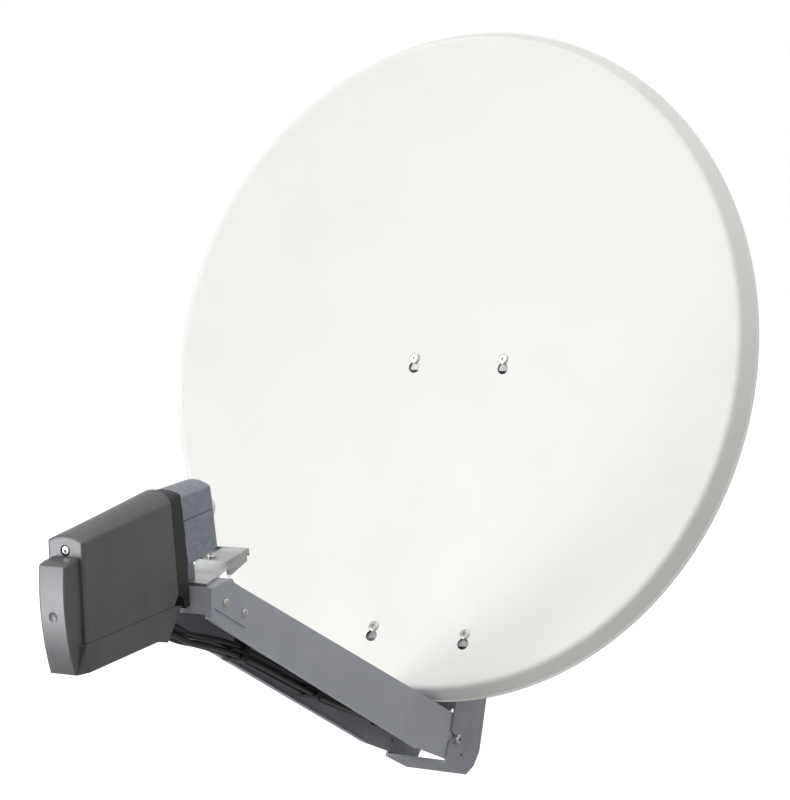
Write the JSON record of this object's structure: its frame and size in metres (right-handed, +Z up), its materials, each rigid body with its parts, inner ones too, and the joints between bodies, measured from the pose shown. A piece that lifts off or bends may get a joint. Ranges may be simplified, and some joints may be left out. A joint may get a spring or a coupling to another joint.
{
  "type": "satellite dish",
  "caption": "Offset satellite dish with folded feed arm, low-noise converter with cable cover, tilting back frame and clamp for a round mast.",
  "frame": {"origin": "on the mast's axis, half way between the two clamp jaws", "axes": "+Z up along the mast, -Y towards the satellite's azimuth, +X to the right of someone who looks at the dish's face"},
  "size_m": [0.9368, 1.2153, 1.107],
  "materials": {
    "reflector_paint": "satin warm white powder coat on aluminium",
    "frame_paint": "light blue-grey powder coat on steel",
    "arm_paint": "light blue-grey powder coat on steel",
    "zinc_plate": "zinc-plated pressed steel",
    "zinc_hardware": "bright zinc-plated fasteners",
    "stainless": "stainless steel fasteners",
    "scale_aluminium": "plain rolled aluminium",
    "housing_casting": "blue-grey painted die casting",
    "horn_casting": "cast aluminium",
    "block_casting": "cast aluminium",
    "cap_plastic": "matt white polypropylene",
    "board_laminate": "glass-epoxy laminate",
    "port_nickel": "nickel-plated brass",
    "gasket_rubber": "black moulded rubber",
    "hood_plastic": "satin dark grey ABS",
    "cover_plastic": "satin dark grey ABS",
    "cable_sheath": "black PE sheath",
    "clip_plastic": "black moulded nylon"
  },
  "bodies": {
    "mast_mount": {"mast_bracket": "zinc_plate", "clamp_bolts": "zinc_hardware", "pivot_bolt": "zinc_hardware", "pivot_nut": "zinc_hardware", "lock_bolts": "zinc_hardware", "lock_nuts": "zinc_hardware"},
    "dish": {"reflector": "reflector_paint", "lower_cross_rail": "zinc_plate", "upper_cross_rail": "zinc_plate", "reflector_bolts": "stainless", "reflector_nuts": "zinc_hardware", "back_frame": "frame_paint", "rail_rivets": "zinc_hardware", "elevation_scale": "scale_aluminium", "scale_rivets": "zinc_hardware", "feed_arm": "arm_paint", "arm_head": "arm_paint", "arm_head_rivets": "stainless", "arm_bolts": "stainless", "arm_nuts": "zinc_hardware", "lnb_saddle": "zinc_plate", "lnb_clamp_plate": "zinc_plate", "clamp_plate_screw": "stainless", "clamp_plate_nut": "zinc_hardware", "lnb_housing_upper": "housing_casting", "lnb_housing_lower": "housing_casting", "feed_horn": "horn_casting", "feed_cap": "cap_plastic", "lnb_block": "block_casting", "lnb_circuit_board": "board_laminate", "lnb_ports": "port_nickel", "lnb_plugs": "port_nickel", "hood_gasket": "gasket_rubber", "lnb_hood": "hood_plastic", "hood_screw": "stainless", "coax_cable_1": "cable_sheath", "coax_cable_2": "cable_sheath", "coax_cable_3": "cable_sheath", "coax_cable_4": "cable_sheath", "downlead_plugs": "port_nickel", "cable_clips": "clip_plastic"},
    "cable_cover": {"cable_cover": "cover_plastic"},
    "upper_jaw": {"upper_clamp_jaw": "zinc_plate", "upper_clamp_nuts": "zinc_hardware"},
    "lower_jaw": {"lower_clamp_jaw": "zinc_plate", "lower_clamp_nuts": "zinc_hardware"}
  },
  "joints": [
    {"name": "elevation_tilt", "type": "hinge", "parent": "mast_mount", "child": "dish", "pos_m": [0, -0.124, 0], "axis": [-1, 0, 0], "range_deg": [-30, 15]},
    {"name": "upper_jaw_slide", "type": "slide", "parent": "mast_mount", "child": "upper_jaw", "axis": [0, 1, 0], "range_m": [-0.012, 0.0424]},
    {"name": "lower_jaw_slide", "type": "slide", "parent": "mast_mount", "child": "lower_jaw", "axis": [0, 1, 0], "range_m": [-0.012, 0.0424]},
    {"name": "cable_cover_slide", "type": "slide", "parent": "dish", "child": "cable_cover", "axis": [0, -0.9799, -0.1994], "range_m": [0, 0.19]}
  ]
}
